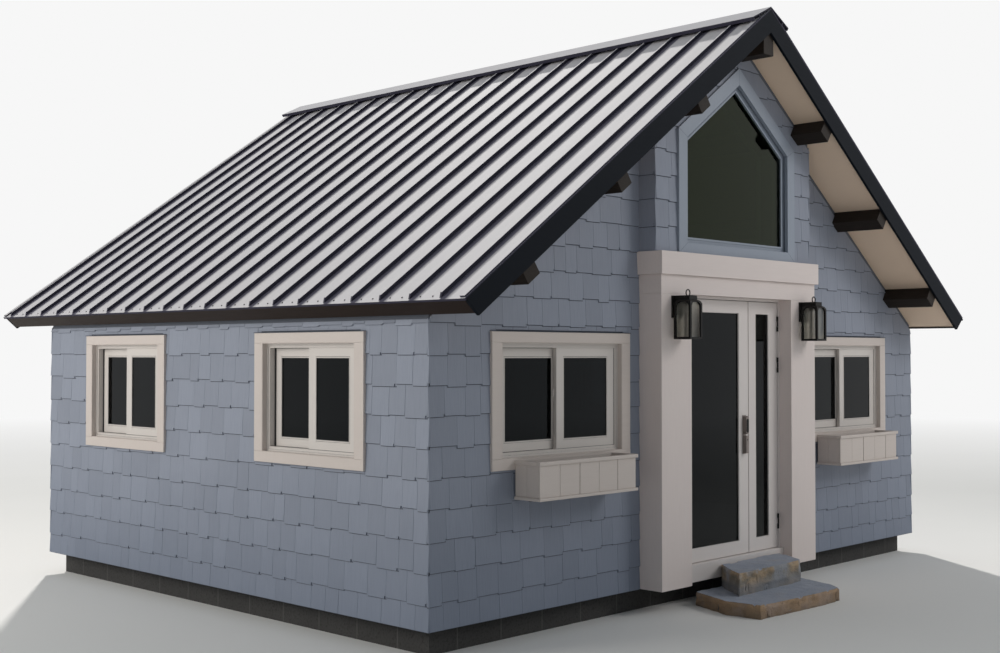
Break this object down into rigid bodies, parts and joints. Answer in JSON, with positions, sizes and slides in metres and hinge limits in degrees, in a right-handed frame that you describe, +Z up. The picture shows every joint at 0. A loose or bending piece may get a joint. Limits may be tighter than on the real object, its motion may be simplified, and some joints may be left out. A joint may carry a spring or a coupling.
{
  "type": "tiny_house",
  "caption": "Small gabled tiny house with blue-grey shingled walls, a dark standing-seam metal roof, a cream door surround with glass doors, flower boxes and lanterns.",
  "frame": {"origin": "on the ground under the middle of the house's footprint", "axes": "+X to the right seen from in front of the door, -Y out of the front gable with the door, +Z up"},
  "size_m": [6.7336, 6.381, 4.643],
  "materials": {
    "foundation_block": "rough grey blockwork",
    "floor_boards": "plain timber boards",
    "wall_paint": "blue-grey paint over shingles",
    "soffit_boards": "smooth warm tan soffit",
    "roof_metal": "charcoal standing-seam sheet, half gloss",
    "eave_paint": "brown-black paint",
    "rake_paint": "slate blue-grey paint",
    "dark_timber": "espresso-brown stained timber",
    "trim_paint": "cream paint",
    "window_vinyl": "white vinyl",
    "door_paint": "white painted door",
    "pane_glass": "clear sealed glass",
    "dark_bronze": "dark bronze and black lockset",
    "black_metal": "black painted metal",
    "sandstone": "split natural sandstone"
  },
  "bodies": {
    "house": {"foundation": "foundation_block", "floor": "floor_boards", "front_wall_left": "wall_paint", "front_wall_right": "wall_paint", "front_gable": "wall_paint", "back_wall": "wall_paint", "left_wall": "wall_paint", "right_wall": "wall_paint", "roof_deck_left": "soffit_boards", "roof_deck_right": "soffit_boards", "roof_metal_left": "roof_metal", "roof_metal_right": "roof_metal", "ridge_cap": "roof_metal", "eave_boards": "eave_paint", "rake_boards": "rake_paint", "purlins": "dark_timber", "surround_left": "trim_paint", "surround_right": "trim_paint", "door_frieze": "trim_paint", "door_cap": "trim_paint", "gable_bay": "wall_paint", "gable_window": "wall_paint", "gable_glass": "pane_glass", "front_windows": "window_vinyl", "back_windows": "window_vinyl", "left_windows": "window_vinyl", "right_windows": "window_vinyl", "front_casings": "trim_paint", "back_casings": "trim_paint", "left_casings": "trim_paint", "right_casings": "trim_paint", "window_glass": "pane_glass", "door_frame": "trim_paint", "flower_box_left": "trim_paint", "flower_box_right": "trim_paint", "lantern_left": "black_metal", "lantern_right": "black_metal", "lantern_glass": "pane_glass", "upper_step": "sandstone", "lower_step": "sandstone"},
    "door_left": {"door_left": "door_paint", "door_left_glass": "pane_glass", "door_left_handle": "dark_bronze"},
    "door_right": {"door_right": "door_paint", "door_right_glass": "pane_glass"}
  },
  "joints": [
    {"name": "door_left_hinge", "type": "hinge", "parent": "house", "child": "door_left", "pos_m": [-0.6725, -2.545, 1.33], "axis": [0, 0, -1], "range_deg": [0, 90]},
    {"name": "door_right_hinge", "type": "hinge", "parent": "house", "child": "door_right", "pos_m": [0.6725, -2.545, 1.33], "axis": [0, 0, 1], "range_deg": [0, 90]}
  ]
}
